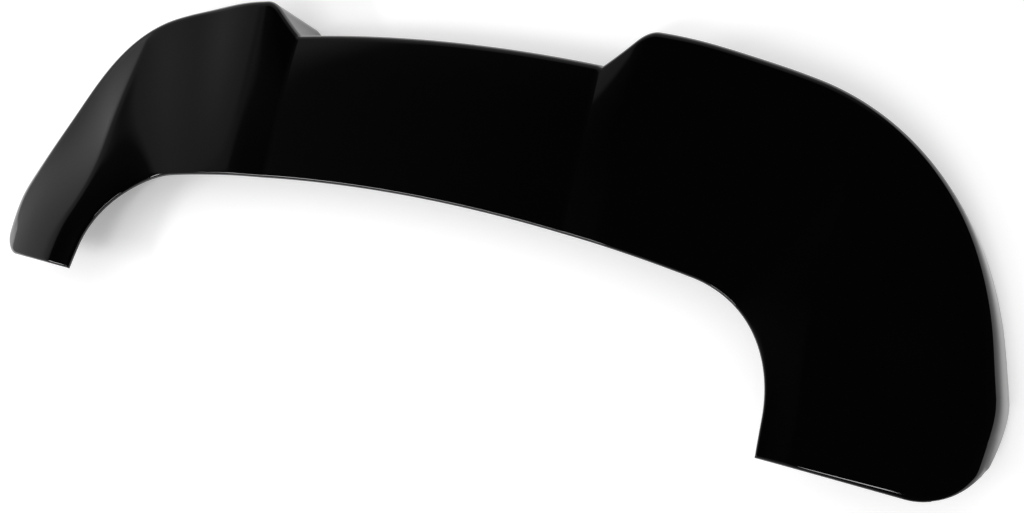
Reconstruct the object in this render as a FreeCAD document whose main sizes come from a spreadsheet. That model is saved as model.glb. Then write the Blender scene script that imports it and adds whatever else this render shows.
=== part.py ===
"""Rear roof spoiler, moulded in one piece: a thin shell with a recessed middle, raised ears and two legs.

Frame: X across the car, Y to the rear, Z up, in mm. The skirt's flat rim lies on Z = 0, and Y = 0 is halfway
between the leg ends and the ears. The shell is lofted through upright sections. Each one runs from the inner
edge, which meets the roof, to the outer edge, where a rounded shoulder turns down into the skirt. Distances
to the rear are stated from the leg ends.
"""
import math
import os

import FreeCAD
import Part
from FreeCAD import Vector

doc = FreeCAD.newDocument("spoiler")

sheet = doc.addObject("Spreadsheet::Sheet", "Sizes")
SIZES = [
    ("wall", 4.0, "thickness of the moulded skin"),
    ("inner_reach", 162.5, "inner edge from the leg ends, at the middle"),
    ("inner_radius", 2122.0, "shallow arc of the inner edge, in plan"),
    ("corner_start", 333.5, "from the middle to where the inner edge turns into the leg"),
    ("corner_radius", 116.0, "turn of the inner edge into the leg, in plan"),
    ("leg_lean", 4.8, "lean of the leg's inner edge, degrees"),
    ("lip_reach", 327.7, "trailing lip of the recess from the leg ends, at the middle"),
    ("lip_radius", 2000.0, "arc of that lip, in plan"),
    ("recess_half", 195.0, "half width of the recess, to the foot of the cheek"),
    ("cheek_width", 52.5, "from the foot of the cheek to the ear's crest"),
    ("ear_reach", 352.3, "trailing edge of the ear from the leg ends, at its crest"),
    ("ear_sweep", 4.3, "sweep of the ear's trailing edge at its crest, degrees"),
    ("ear_radius", 902.0, "arc of the ear's trailing edge, in plan"),
    ("ear_length", 157.0, "length of that arc"),
    ("bend_radius", 247.0, "arc round the rear corner, in plan"),
    ("bend_length", 202.5, "length of that arc"),
    ("side_radius", 355.0, "arc of the side down to the leg end, in plan"),
    ("inner_height", 56.0, "inner edge above the rim, at the middle"),
    ("corner_height", 56.0, "inner edge above the rim, where it turns"),
    ("leg_height", 73.5, "inner edge above the rim, at the leg end"),
    ("lip_height", 69.3, "recess above the rim, at its lip"),
    ("crest_height", 79.0, "ear above the rim, at its crest"),
    ("ear_height", 69.0, "ear above the rim, outside its crest"),
    ("side_height", 32.5, "side above the rim, where its shoulder starts"),
    ("end_height", 51.0, "the same at the leg end"),
    ("rear_shoulder", 8.0, "rounding of the trailing edge"),
    ("side_shoulder", 22.0, "rounding of the side"),
    ("end_shoulder", 40.5, "rounding of the leg's outer face, at its end"),
    ("trim", 12.0, "skirt below the rim, as lofted, which the trim takes off"),
    ("rake_length", 95.0, "raked cut under the leg end, along the car"),
    ("rake_height", 57.0, "raked cut under the leg end, upwards"),
]
for row, (alias, value, note) in enumerate(SIZES, start=1):
    sheet.set(f"A{row}", alias)
    sheet.set(f"B{row}", str(value))
    sheet.set(f"C{row}", note)
    sheet.setAlias(f"B{row}", alias)
doc.recompute()

# Slopes of a section, rise over run, at the inner edge and where the shoulder starts
INNER_SLOPE = 0.08
LEG_INNER_SLOPE = -0.35
LIP_SLOPE = -0.02
EAR_SLOPE = 0.12
SIDE_SLOPE = -0.08
END_SLOPE = -0.52

# Stretches of a side, as shares of the way from the ear's crest to the leg end
EAR_STRETCH = (0.0, 0.22)
SIDE_STRETCH = (0.05, 0.86)
SHOULDER_STRETCH = (0.35, 0.75)
END_STRETCH = (0.5, 1.0)

# The shoulder is made of a few narrow faces, which take far fewer facets than one face
SHOULDER_FACES = 3


def blend(stretch, place):
    """0 before the stretch, 1 after it, and an even S-curve along it."""
    start, end = stretch
    step = min(max((place - start) / (end - start), 0.0), 1.0)
    return step ** 3 * (10 - 15 * step + 6 * step ** 2)


def mix(first, second, share):
    return first + (second - first) * share


def turn(radius, start, end):
    """Step in plan along an arc that bends to the front, from one heading to another."""
    return Vector(math.sin(end) - math.sin(start), math.cos(end) - math.cos(start), 0) * radius


# Headings in plan, from straight across to straight forwards, and the distances at which they are reached
inner_heading = math.asin(sheet.corner_start / sheet.inner_radius)
leg_heading = math.radians(90 - sheet.leg_lean)
corner_travel = sheet.inner_radius * inner_heading
leg_travel = corner_travel + sheet.corner_radius * (leg_heading - inner_heading)
ear_heading = math.radians(sheet.ear_sweep)
bend_heading = ear_heading + sheet.ear_length / sheet.ear_radius
side_heading = bend_heading + sheet.bend_length / sheet.bend_radius
side_travel = sheet.ear_length + sheet.bend_length
crest = sheet.recess_half + sheet.cheek_width


def inner_edge(travel):
    """Plan point of the inner edge by the distance from the middle: shallow arc, corner, straight leg."""
    arc = min(travel, corner_travel)
    point = Vector(0, sheet.inner_reach, 0) + turn(sheet.inner_radius, 0, arc / sheet.inner_radius)
    if travel > corner_travel:
        step = min(travel, leg_travel) - corner_travel
        point += turn(sheet.corner_radius, inner_heading, inner_heading + step / sheet.corner_radius)
    if travel > leg_travel:
        point += Vector(math.cos(leg_heading), -math.sin(leg_heading), 0) * (travel - leg_travel)
    return point


def outer_edge(travel):
    """Plan point of the outer edge by the distance from the ear's crest: the arcs of ear, corner and side."""
    ear = min(travel, sheet.ear_length)
    point = Vector(crest, sheet.ear_reach, 0)
    point += turn(sheet.ear_radius, ear_heading, ear_heading + ear / sheet.ear_radius)
    if travel > sheet.ear_length:
        bend = min(travel, side_travel) - sheet.ear_length
        point += turn(sheet.bend_radius, bend_heading, bend_heading + bend / sheet.bend_radius)
    if travel > side_travel:
        rest = travel - side_travel
        point += turn(sheet.side_radius, side_heading, side_heading + rest / sheet.side_radius)
    return point


# Both edges end level with each other, at the leg end
inner_length = leg_travel + inner_edge(leg_travel).y / math.sin(leg_heading)
end_heading = math.acos(math.cos(side_heading) - outer_edge(side_travel).y / sheet.side_radius)
outer_length = side_travel + sheet.side_radius * (end_heading - side_heading)


def section(label, travel, side=1):
    """Closed section at a distance along the inner edge, on the right (side 1) or on the left (-1)."""
    along = max(travel - crest, 0.0) / (inner_length - crest)
    step = min(max((travel - sheet.recess_half) / sheet.cheek_width, 0.0), 1.0)
    cheek = step * (2 - step)
    corner = blend((sheet.corner_start, inner_length), travel)
    inner = inner_edge(travel)
    if travel < crest:
        lip = sheet.lip_reach - travel ** 2 / (2 * sheet.lip_radius)
        outer = Vector(travel, mix(lip, sheet.ear_reach, cheek), 0)
    else:
        outer = outer_edge(along * outer_length)

    inner_z = mix(sheet.inner_height, sheet.corner_height, blend((0, sheet.corner_start), travel))
    inner_z = mix(inner_z, sheet.leg_height, corner)
    outer_z = mix(sheet.lip_height, sheet.crest_height, cheek)
    outer_z = mix(outer_z, sheet.ear_height, blend(EAR_STRETCH, along))
    outer_z = mix(outer_z, sheet.side_height, blend(SIDE_STRETCH, along))
    outer_z = mix(outer_z, sheet.end_height, blend(END_STRETCH, along))
    shoulder = mix(sheet.rear_shoulder, sheet.side_shoulder, blend(SHOULDER_STRETCH, along))
    shoulder = mix(shoulder, sheet.end_shoulder, blend(END_STRETCH, along))
    inner_tilt = math.atan(mix(INNER_SLOPE, LEG_INNER_SLOPE, corner))
    outer_slope = mix(mix(LIP_SLOPE, EAR_SLOPE, cheek), SIDE_SLOPE, blend(SIDE_STRETCH, along))
    outer_tilt = math.atan(mix(outer_slope, END_SLOPE, blend(END_STRETCH, along)))

    width = (outer - inner).Length
    across = (outer - inner).normalize()

    def place(distance, height):
        point = inner + across * distance
        return Vector(side * point.x, point.y - sheet.ear_reach / 2, height)

    def top_curve(depth):
        """Poles of the cubic from the inner edge to the shoulder, at a depth below the outer face."""
        x0 = depth * math.sin(inner_tilt)
        z0 = inner_z - depth * math.cos(inner_tilt)
        x3 = width - shoulder + (depth - shoulder) * math.sin(outer_tilt)
        z3 = outer_z - depth * math.cos(outer_tilt)
        third = (x3 - x0) / 3
        return [(x0, z0), (x0 + third, z0 + third * math.tan(inner_tilt)),
                (x3 - third, z3 - third * math.tan(outer_tilt)), (x3, z3)]

    def cubic(poles):
        curve = Part.BezierCurve()
        curve.setPoles([place(*pole) for pole in poles])
        return curve.toShape()

    def line(start, end):
        return Part.LineSegment(place(*start), place(*end)).toShape()

    centre_z = outer_z - shoulder * math.cos(outer_tilt)
    top_angle = math.radians(90) + outer_tilt

    def shoulder_arcs(depth):
        """Arcs from the end of the top curve down to the skirt, at a depth below the outer face."""
        def on_arc(step):
            angle = top_angle * (1 - step / SHOULDER_FACES)
            radius = shoulder - depth
            return place(width - shoulder + radius * math.cos(angle), centre_z + radius * math.sin(angle))

        return [Part.Arc(on_arc(k), on_arc(k + 0.5), on_arc(k + 1)).toShape() for k in range(SHOULDER_FACES)]

    face = top_curve(0.0)
    back = top_curve(sheet.wall)
    inside = width - sheet.wall
    edges = [cubic(face)] + shoulder_arcs(0.0)
    edges += [line((width, centre_z), (width, -sheet.trim)),
              line((width, -sheet.trim), (inside, -sheet.trim)),
              line((inside, -sheet.trim), (inside, centre_z))]
    edges += [arc.reversed() for arc in reversed(shoulder_arcs(sheet.wall))]
    edges += [cubic(back[::-1]), line(back[0], face[0])]
    feature = doc.addObject("Part::Feature", label)
    feature.Shape = Part.Wire(edges)
    return feature


def loft(label, sections):
    feature = doc.addObject("Part::Loft", label)
    feature.Sections = sections
    feature.Solid = True
    return feature


# The recessed middle, from the foot of one cheek to the foot of the other
foot = sheet.recess_half
middle_stations = [(foot, -1), (foot / 2, -1), (0, 1), (foot / 2, 1), (foot, 1)]
middle = loft("middle", [section(f"middle_{k}", *station) for k, station in enumerate(middle_stations)])

# One cheek, and the side beyond it with its ear, corner and leg
cheek_stations = [mix(foot, crest, share) for share in (0, 0.5, 1)]
cheek = loft("cheek", [section(f"cheek_{k}", travel) for k, travel in enumerate(cheek_stations)])
side_shares = [0, 0.12, 0.25, 0.4, 0.55, 0.7, 0.85, 1]
side_stations = [mix(crest, inner_length, share) for share in side_shares]
side = loft("side", [section(f"side_{k}", travel) for k, travel in enumerate(side_stations)])


def mirrored(label, source):
    feature = doc.addObject("Part::Mirroring", label)
    feature.Source = source
    feature.Normal = Vector(1, 0, 0)
    return feature


# Both sides and the middle as one shell
band = doc.addObject("Part::MultiFuse", "band")
band.Shapes = [mirrored("left_side", side), mirrored("left_cheek", cheek), middle, cheek, side]

# The trim that leaves a flat rim all round the skirt
trim = doc.addObject("Part::Box", "trim")
trim.setExpression("Length", "2 * Sizes.inner_radius")
trim.setExpression("Width", "2 * Sizes.ear_reach")
trim.setExpression("Height", "2 * Sizes.trim")
trim.setExpression("Placement.Base.x", "-Sizes.inner_radius")
trim.setExpression("Placement.Base.y", "-Sizes.ear_reach")
trim.setExpression("Placement.Base.z", "-2 * Sizes.trim")
trimmed = doc.addObject("Part::Cut", "trimmed")
trimmed.Base = band
trimmed.Tool = trim

# The raked cut that lifts the lower corner of both leg ends
rake = doc.addObject("Part::Wedge", "rake")
for low, high in (("Xmin", "Xmax"), ("X2min", "X2max")):
    rake.setExpression(low, "-Sizes.inner_radius")
    rake.setExpression(high, "Sizes.inner_radius")
rake.setExpression("Ymin", "-Sizes.rake_length - Sizes.ear_reach / 2")
rake.setExpression("Ymax", "2 * Sizes.rake_length - Sizes.ear_reach / 2")
rake.setExpression("Zmin", "-Sizes.rake_height")
rake.setExpression("Zmax", "2 * Sizes.rake_height")
rake.setExpression("Z2min", "-Sizes.rake_height")
rake.setExpression("Z2max", "-Sizes.rake_height")
shell = doc.addObject("Part::Cut", "shell")
shell.Label = "spoiler_shell"
shell.Base = trimmed
shell.Tool = rake
doc.recompute()

for item in doc.Objects:
    if "Invalid" in item.State or "Error" in item.State:
        raise RuntimeError(f"{item.Label} did not build")
if shell.Shape.isNull() or not shell.Shape.isValid() or len(shell.Shape.Solids) != 1:
    raise RuntimeError("the shell is not one sound solid")
if abs(shell.Shape.BoundBox.Center.x) > sheet.wall:
    raise RuntimeError("the shell lacks one of its sides")

os.makedirs("parts", exist_ok=True)
shell.Shape.exportStep(f"parts/{shell.Label}.step")
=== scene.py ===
"""Gloss black rear roof spoiler on white paper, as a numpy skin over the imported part. Lengths in metres."""
import math

import bpy
import numpy as np
from mathutils import Matrix, Vector


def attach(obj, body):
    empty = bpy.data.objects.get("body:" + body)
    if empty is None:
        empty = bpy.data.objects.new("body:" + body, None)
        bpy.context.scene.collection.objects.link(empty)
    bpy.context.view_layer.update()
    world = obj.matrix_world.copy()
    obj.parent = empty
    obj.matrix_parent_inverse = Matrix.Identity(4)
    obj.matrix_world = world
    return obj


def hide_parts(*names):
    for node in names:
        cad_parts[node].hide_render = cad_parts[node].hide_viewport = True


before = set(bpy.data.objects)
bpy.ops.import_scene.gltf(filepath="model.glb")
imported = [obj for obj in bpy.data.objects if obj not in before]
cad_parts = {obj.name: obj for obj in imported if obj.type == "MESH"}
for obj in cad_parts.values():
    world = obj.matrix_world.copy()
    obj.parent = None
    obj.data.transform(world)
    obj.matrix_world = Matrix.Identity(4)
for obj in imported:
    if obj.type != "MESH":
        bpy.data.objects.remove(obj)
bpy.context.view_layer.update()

# Spoiler shell: one thin skin of ABS with a recessed middle, two ears and two legs, open underneath.
# Moulded in one piece, trimmed along its inner edge, leg ends and rim, and bonded to the car by the rim.
# Reaches are measured to the rear from the leg ends, and heights upwards from the rim.
WALL = 0.004
INNER_REACH, LIP_REACH, EAR_REACH = 0.1625, 0.3277, 0.3523
RECESS_HALF, CHEEK = 0.195, 0.0525
CREST = RECESS_HALF + CHEEK
CORNER_START, CORNER_RADIUS, INNER_RADIUS, LIP_RADIUS = 0.3335, 0.116, 2.122, 2.0
LEG_HEADING = math.radians(90 - 4.8)
RAKE_LENGTH, RAKE_HEIGHT = 0.095, 0.057
INNER_HEIGHT, EAR_LIFT, LEG_HEIGHT = 0.056, 0.003, 0.0735
LIP_HEIGHT, CREST_HEIGHT, EAR_HEIGHT, SIDE_HEIGHT, END_HEIGHT = 0.0693, 0.079, 0.069, 0.0325, 0.056
REAR_SHOULDER, SIDE_SHOULDER, END_SHOULDER = 0.008, 0.022, 0.0405
INNER_SLOPE, LIP_SLOPE, CREST_SLOPE, SIDE_SLOPE, END_SLOPE = 0.08, -0.02, 0.12, -0.08, -0.32
SHOULDER_PULL, END_ROUND = 3.0, 0.05

# Share of the cheek that is straight, before it rounds off into the crest
RAMP = 0.6

# The ridge's line, as shares across the shell: at its front, and at most, once it has swung outwards
RIDGE_HEIGHT, RIDGE_SOFTNESS = 0.021, 0.02
RIDGE_FRONT, RIDGE_MOST = 0.24, 0.95
RIDGE_BEND, RIDGE_SWING = 0.8, 3.9

# Stretches of a side, as shares of the way from the ear's crest to the leg end
EAR_STRETCH, SIDE_STRETCH, SHOULDER_STRETCH, END_STRETCH = (0, 0.22), (0.05, 0.86), (0.35, 0.75), (0.5, 1.0)
LIFT_STRETCH, RIDGE_STRETCH, ROUND_STRETCH = (0.1, 0.6), (0.3, 0.6), (0.75, 1.0)


def ease(start, end, place):
    """0 before the start, 1 after the end, and an even S-curve between them."""
    step = np.clip((place - start) / (end - start), 0, 1)
    return step ** 3 * (10 - 15 * step + 6 * step ** 2)


def mix(first, second, share):
    """The first value, moved by a share of the way to the second."""
    return first + (second - first) * share


def follow(point, heading, arcs, travel):
    """Plan points at a travel along arcs (radius, length) that bend to the front from a heading."""
    x, y = point
    for radius, length in arcs:
        turned = heading + np.clip(travel, 0, length) / radius
        x = x + radius * (np.sin(turned) - math.sin(heading))
        y = y + radius * (np.cos(turned) - math.cos(heading))
        travel = travel - length
        heading += length / radius
    return x, y


corner_heading = math.asin(CORNER_START / INNER_RADIUS)
INNER_ARCS = [(INNER_RADIUS, INNER_RADIUS * corner_heading),
              (CORNER_RADIUS, CORNER_RADIUS * (LEG_HEADING - corner_heading))]
REAR_ARCS = [(0.902, 0.157), (0.247, 0.2025)]
SIDE_RADIUS = 0.355
EAR_HEADING = math.radians(4.3)
leg_travel = sum(length for radius, length in INNER_ARCS)
leg_y = follow((0, INNER_REACH), 0.0, INNER_ARCS, leg_travel)[1]
INNER_LENGTH = leg_travel + leg_y / math.sin(LEG_HEADING)
side_travel = sum(length for radius, length in REAR_ARCS)
side_heading = EAR_HEADING + sum(length / radius for radius, length in REAR_ARCS)
side_y = follow((CREST, EAR_REACH), EAR_HEADING, REAR_ARCS, side_travel)[1]
side_length = SIDE_RADIUS * (math.acos(math.cos(side_heading) - side_y / SIDE_RADIUS) - side_heading)
OUTER_ARCS = REAR_ARCS + [(SIDE_RADIUS, side_length)]
OUTER_LENGTH = side_travel + side_length


def skin(travel, place, depth):
    """Points of the shell by the travel along its inner edge (minus on the left) and the place across it.

    Across, a place from 0 to 1 is a cubic from the inner edge to the shoulder, 1 to 2 the shoulder and
    2 to 3 the upright skirt. The shoulder is a conic: an arc at the rear, and pulled tighter on the sides.
    Along, the cheek is an even ramp that rounds off into the ear's crest. Each leg has a soft ridge that
    swings from the ear's outer side towards the inner edge, and its outer corner is rounded in plan.
    The depth is measured square to the outer face, so one formula gives both faces.
    """
    side = np.where(travel < 0, -1.0, 1.0)
    travel = np.abs(travel)
    along = np.clip((travel - CREST) / (INNER_LENGTH - CREST), 0, 1)
    step = np.clip((travel - RECESS_HALF) / CHEEK, 0, 1)
    rise = np.where(step < RAMP, step, step - (step - RAMP) ** 2 / (2 * (1 - RAMP))) / ((1 + RAMP) / 2)
    corner = ease(CORNER_START, INNER_LENGTH, travel)
    ear, flank = ease(*EAR_STRETCH, along), ease(*SIDE_STRETCH, along)
    round_off, end = ease(*SHOULDER_STRETCH, along), ease(*END_STRETCH, along)

    xi, yi = follow((0.0, INNER_REACH), 0.0, INNER_ARCS, travel)
    straight = np.clip(travel - leg_travel, 0, None)
    xi, yi = xi + math.cos(LEG_HEADING) * straight, yi - math.sin(LEG_HEADING) * straight
    xo, yo = follow((CREST, EAR_REACH), EAR_HEADING, OUTER_ARCS, along * OUTER_LENGTH)
    lip = LIP_REACH - travel ** 2 / (2 * LIP_RADIUS)
    yo = np.where(travel < CREST, mix(lip, EAR_REACH, rise), yo)
    xo = np.where(travel < CREST, travel, xo)

    zi = mix(INNER_HEIGHT, LEG_HEIGHT, corner) + EAR_LIFT * rise * (1 - ease(*LIFT_STRETCH, along))
    zo = mix(mix(LIP_HEIGHT, CREST_HEIGHT, rise), EAR_HEIGHT, ear)
    zo = mix(mix(zo, SIDE_HEIGHT, flank), END_HEIGHT, end)
    shoulder = mix(mix(REAR_SHOULDER, SIDE_SHOULDER, round_off), END_SHOULDER, end)
    tilt_i = np.arctan(mix(INNER_SLOPE, 0.0, corner))
    slope_o = mix(mix(LIP_SLOPE, CREST_SLOPE, rise), SIDE_SLOPE, flank)
    tilt_o = np.arctan(mix(slope_o, END_SLOPE, end))

    width = np.hypot(xo - xi, yo - yi)
    across_x, across_y = (xo - xi) / width, (yo - yi) / width
    d0, z0 = depth * np.sin(tilt_i), zi - depth * np.cos(tilt_i)
    d3 = width - shoulder + (depth - shoulder) * np.sin(tilt_o)
    z3 = zo - depth * np.cos(tilt_o)
    run = d3 - d0
    s = np.clip(place, 0, 1)
    z = (z0 * (1 + 2 * s) * (1 - s) ** 2 + z3 * s ** 2 * (3 - 2 * s)
         + run * s * (1 - s) * (np.tan(tilt_i) * (1 - s) - np.tan(tilt_o) * s))
    ridge = np.minimum(RIDGE_FRONT + RIDGE_SWING * np.clip(RIDGE_BEND - along, 0, None) ** 2, RIDGE_MOST)
    beside = s - ridge
    away = np.hypot(beside, RIDGE_SOFTNESS) - RIDGE_SOFTNESS
    fall = np.clip(1 - away / np.where(beside < 0, ridge, 1 - ridge), 0, 1)
    z = z + RIDGE_HEIGHT * ridge * ease(*RIDGE_STRETCH, along) * fall ** np.where(beside < 0, 1.5, 1.2)
    d = d0 + run * s

    t = np.clip(place - 1, 0, 1)
    pull = 2 * mix(1.0, SHOULDER_PULL, round_off) * np.cos(math.pi / 4 + tilt_o / 2) * t * (1 - t)
    total = (1 - t) ** 2 + pull + t ** 2
    overhang = width - depth - d3
    centre = zo - shoulder * np.cos(tilt_o)
    turned = (1 - t) ** 2 * z3 + pull * (z3 + np.tan(tilt_o) * overhang) + t ** 2 * centre
    d = np.where(place > 1, width - depth - overhang * (1 - t) ** 2 / total, d)
    z = np.where(place > 1, turned / total, z)
    z = np.where(place > 2, centre * (3 - place), z)
    x = side * (xi + across_x * d)
    # The corner is part of a quarter circle, which stops short of its upright end
    outside = np.clip((d - width) / END_ROUND + 1, 0, 0.96)
    y = yi + across_y * d + END_ROUND * (1 - np.sqrt(1 - outside ** 2)) * ease(*ROUND_STRETCH, along)
    return np.stack(np.broadcast_arrays(x, y - EAR_REACH / 2, z), -1)


def reach(travel, depth):
    """Place across the shell where the skirt ends: at the rim, or first below the raked cut under a leg."""
    fine = np.linspace(0, 3, 1501)
    points = skin(travel, fine, depth)
    above = points[..., 2] - RAKE_HEIGHT * (1 - (points[..., 1] + EAR_REACH / 2) / RAKE_LENGTH)
    cut = (above < 0) & (np.abs(travel) > CREST)
    after = np.argmax(cut, axis=1)
    rows = np.arange(len(after))
    share = above[rows, after - 1] / (above[rows, after - 1] - above[rows, after])
    return np.where(cut.any(axis=1), fine[after - 1] + share * (fine[1] - fine[0]), 3.0)[:, None]


# The inner edge and leg ends are rolled over: a small arc from the top face down to the wall's cut front
ROLL = 0.0028
angle = np.linspace(0, math.pi / 2, 9)
half_rows = np.concatenate([np.linspace(0, RECESS_HALF, 36)[:-1], np.linspace(RECESS_HALF, CREST, 36)[:-1],
                            np.linspace(CREST, INNER_LENGTH - ROLL, 150)[:-1],
                            INNER_LENGTH - ROLL + ROLL * np.sin(angle)])
travel = np.concatenate([-half_rows[:0:-1], half_rows])[:, None]
place = np.concatenate([np.linspace(0, 1, 45)[:-1], np.linspace(1, 2, 19)[:-1], np.linspace(2, 3, 16)])
sunk = ROLL - np.sqrt(ROLL ** 2 - np.clip(np.abs(travel) - INNER_LENGTH + ROLL, 0, ROLL) ** 2)
inner = skin(travel, place * reach(travel, WALL) / 3, WALL)
edge = skin(travel, 0.0, sunk)

# The roll ends where the top face starts, which a short step across the shell finds
STEP = 0.02
inwards = skin(travel, STEP, sunk) - edge
length = np.linalg.norm(inwards, axis=-1, keepdims=True)
inwards = inwards / length
down = (inner[:, :1] - edge) / (WALL - sunk[..., None])
start = STEP * ROLL / length[..., 0]
outer = skin(travel, start + place / 3 * (reach(travel, sunk) - start), sunk)
angle = angle[None, :-1, None]
drop = np.maximum(ROLL * (1 - np.sin(angle)) - sunk[..., None], 0)
roll = edge + ROLL * (1 - np.cos(angle)) * inwards + drop * down

# Each row is a closed loop: the outer face, back along the inner face, and the roll. Caps close the ends
loop = np.concatenate([outer, inner[:, ::-1], roll], axis=1)
rows, columns = loop.shape[:2]
index = np.arange(rows * columns).reshape(rows, columns)
around = np.roll(index, -1, axis=1)
quads = np.stack([index[:-1], index[1:], around[1:], around[:-1]], -1).reshape(-1, 4)
upper, lower = index[:, :len(place)], index[:, 2 * len(place) - 1:len(place) - 1:-1]
caps = np.stack([upper[:, :-1], upper[:, 1:], lower[:, 1:], lower[:, :-1]], -1)
noses = np.concatenate([upper[:, :1], lower[:, :1], index[:, 2 * len(place):]], axis=1)
faces = [*quads.tolist(), *caps[0].tolist(), *caps[-1][:, ::-1].tolist()]
faces += [noses[0].tolist(), noses[-1][::-1].tolist()]
mesh = bpy.data.meshes.new("spoiler_skin")
mesh.from_pydata(loop.reshape(-1, 3), [], faces)
mesh.shade_smooth()
spoiler = bpy.data.objects.new("spoiler_skin", mesh)
bpy.context.scene.collection.objects.link(spoiler)
bevel = spoiler.modifiers.new("cut edges", "BEVEL")
bevel.width = 0.0005
bevel.segments = 2
bevel.limit_method = "ANGLE"
bevel.angle_limit = math.radians(40)
bevel.harden_normals = True


def colour(code):
    """Linear RGBA of an sRGB hex code."""
    channels = np.array([int(code[k:k + 2], 16) for k in (1, 3, 5)]) / 255
    linear = np.where(channels > 0.04045, ((channels + 0.055) / 1.055) ** 2.4, channels / 12.92)
    return (*linear, 1.0)


def add(tree, kind, settings=None, links=None):
    """Add a node. Settings are values of its sockets or its own, links its inputs from other outputs."""
    node = tree.nodes.new(kind)
    for name, value in (settings or {}).items():
        if isinstance(name, int) or name in node.inputs:
            node.inputs[name].default_value = value
        else:
            setattr(node, name, value)
    for name, source in (links or {}).items():
        tree.links.new(source, node.inputs[name])
    return node


def material(name):
    """A new material and its node tree, emptied."""
    made = bpy.data.materials.new(name)
    made.use_nodes = True
    made.node_tree.nodes.clear()
    return made, made.node_tree


# Piano black ABS: a deep black body under a polished skin that mirrors the room.
# Moulding leaves faint waves in the skin, here about 56 mm long.
WAVES_PER_METRE = 18.0
abs_black, tree = material("gloss black moulded ABS")
where = add(tree, "ShaderNodeTexCoord")
waves = add(tree, "ShaderNodeTexNoise", {"Scale": WAVES_PER_METRE, "Detail": 1.0},
            {"Vector": where.outputs["Object"]})
bump = add(tree, "ShaderNodeBump", {"Strength": 0.02, "Distance": 0.001}, {"Height": waves.outputs[0]})
gloss = add(tree, "ShaderNodeBsdfPrincipled",
            {"Base Color": colour("#030303"), "Roughness": 0.06, "IOR": 1.5}, {"Normal": bump.outputs[0]})
add(tree, "ShaderNodeOutputMaterial", None, {"Surface": gloss.outputs[0]})
spoiler.data.materials.append(abs_black)
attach(spoiler, "root")
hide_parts("spoiler_shell")

# White floor: the seamless paper that the spoiler lies on, a matt white sheet with no edge in sight.
# It shows as white to the eye and in the gloss, and keeps the soft shadow under and beside the shell.
PAPER_HALF = 30.0
corners = [(-PAPER_HALF, -PAPER_HALF, 0), (PAPER_HALF, -PAPER_HALF, 0),
           (PAPER_HALF, PAPER_HALF, 0), (-PAPER_HALF, PAPER_HALF, 0)]
paper = bpy.data.meshes.new("paper")
paper.from_pydata(corners, [], [(0, 1, 2, 3)])
floor = bpy.data.objects.new("paper", paper)
bpy.context.scene.collection.objects.link(floor)


def seen(tree):
    """1 for what the eye sees, straight or in a gloss or a glass, and 0 for light on a matt face."""
    path = add(tree, "ShaderNodeLightPath")
    total = path.outputs["Is Camera Ray"]
    for ray in ("Is Glossy Ray", "Is Transmission Ray"):
        either = add(tree, "ShaderNodeMath", {"operation": "MAXIMUM"}, {0: total, 1: path.outputs[ray]})
        total = either.outputs[0]
    return total


# Paper: a matt white that takes a shadow, lifted to full white where it is seen
LIFT = 0.25
white, tree = material("white paper")
matt = add(tree, "ShaderNodeBsdfDiffuse", {"Color": colour("#f8f8f8")})
lift = add(tree, "ShaderNodeMath", {"operation": "MULTIPLY", 1: LIFT}, {0: seen(tree)})
glow = add(tree, "ShaderNodeEmission", {"Color": colour("#ffffff")}, {"Strength": lift.outputs[0]})
paper_look = add(tree, "ShaderNodeAddShader", None, {0: matt.outputs[0], 1: glow.outputs[0]})
add(tree, "ShaderNodeOutputMaterial", None, {"Surface": paper_look.outputs[0]})
floor.data.materials.append(white)

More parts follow.
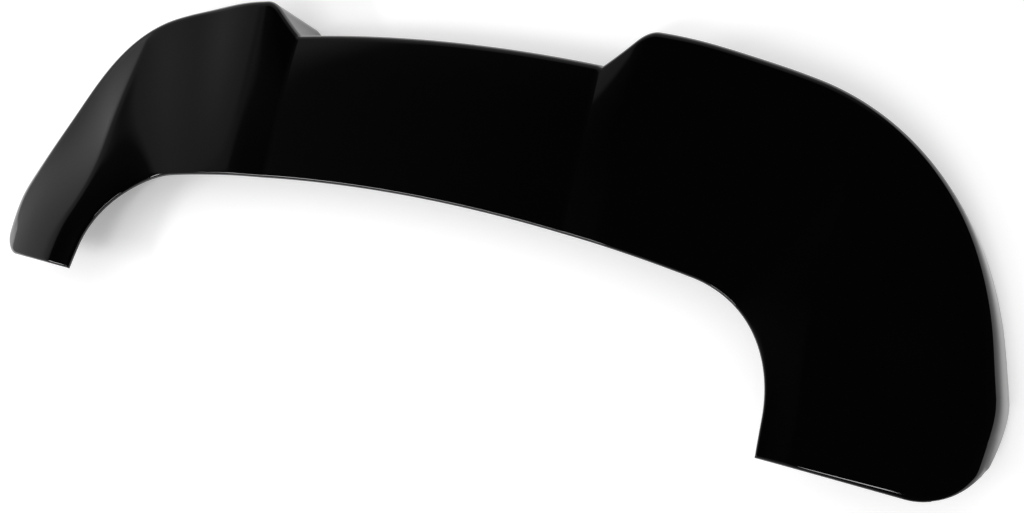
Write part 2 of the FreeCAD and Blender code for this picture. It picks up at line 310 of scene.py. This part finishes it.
# Room: the gloss mirrors pale walls low on the left, which fade to a dark ceiling and a dark right side.
# An even fill lights the paper, and two strip lamps draw the bright lines on the inner edge and the right
# leg's end. The walls are pairs of a direction's height, as a sine, and its brightness.
WALLS = [(0.0, 0.4), (0.2, 0.38), (0.4, 0.36), (0.44, 0.24), (0.69, 0.19), (0.73, 0.03), (0.85, 0.0)]
FILL = 0.76
world = bpy.data.worlds.new("room")
bpy.context.scene.world = world
world.use_nodes = True
tree = world.node_tree
tree.nodes.clear()
direction = add(tree, "ShaderNodeTexCoord")
axes = add(tree, "ShaderNodeSeparateXYZ", None, {0: direction.outputs["Generated"]})
walls = add(tree, "ShaderNodeValToRGB", None, {"Fac": axes.outputs["Z"]})
for k, (sine, level) in enumerate(WALLS):
    stop = walls.color_ramp.elements[k] if k < 2 else walls.color_ramp.elements.new(sine)
    stop.position = sine
    stop.color = (level, level, level, 1.0)
left_side = add(tree, "ShaderNodeMapRange",
                {"From Min": -0.1, "From Max": 0.3, "To Min": 1.0, "To Max": 0.03},
                {"Value": axes.outputs["X"]})
mirrored = add(tree, "ShaderNodeBackground", None,
               {"Color": walls.outputs["Color"], "Strength": left_side.outputs["Result"]})
fill = add(tree, "ShaderNodeBackground", {"Color": colour("#ffffff"), "Strength": FILL})
path = add(tree, "ShaderNodeLightPath")
room = add(tree, "ShaderNodeMixShader", None,
           {0: path.outputs["Is Glossy Ray"], 1: fill.outputs[0], 2: mirrored.outputs[0]})
add(tree, "ShaderNodeOutputWorld", None, {"Surface": room.outputs[0]})


def lamp(name, place, width, height, power):
    """A flat rectangular lamp that faces the origin."""
    light = bpy.data.lights.new(name, "AREA")
    light.shape = "RECTANGLE"
    light.size, light.size_y, light.energy = width, height, power
    made = bpy.data.objects.new(name, light)
    bpy.context.scene.collection.objects.link(made)
    made.location = place
    made.rotation_euler = (-Vector(place)).to_track_quat("-Z", "Y").to_euler()


lamp("right strip", (0.75, -1.3, 2.4), 1.2, 0.35, 15.0)
lamp("left strip", (-1.7, -1.2, 1.85), 1.0, 0.25, 12.0)

# Camera: a plain lens from the right and above, rolled as the picture is.
# Its place and its axes to the back and to the right were fitted to the object's outline.
EYE = (0.75478, -0.19646, 1.01238)
camera = bpy.data.cameras.new("camera")
camera.sensor_width = 36.0
camera.lens = 42.19
view = bpy.data.objects.new("camera", camera)
bpy.context.scene.collection.objects.link(view)
back = Vector((0.53036, -0.12543, 0.83848)).normalized()
right = Vector((0.83058, 0.27557, -0.48409))
right = (right - back * right.dot(back)).normalized()
up = back.cross(right)
view.matrix_world = Matrix.Translation(EYE) @ Matrix((right, up, back)).transposed().to_4x4()
bpy.context.scene.camera = view
bpy.context.scene.view_settings.view_transform = "Standard"
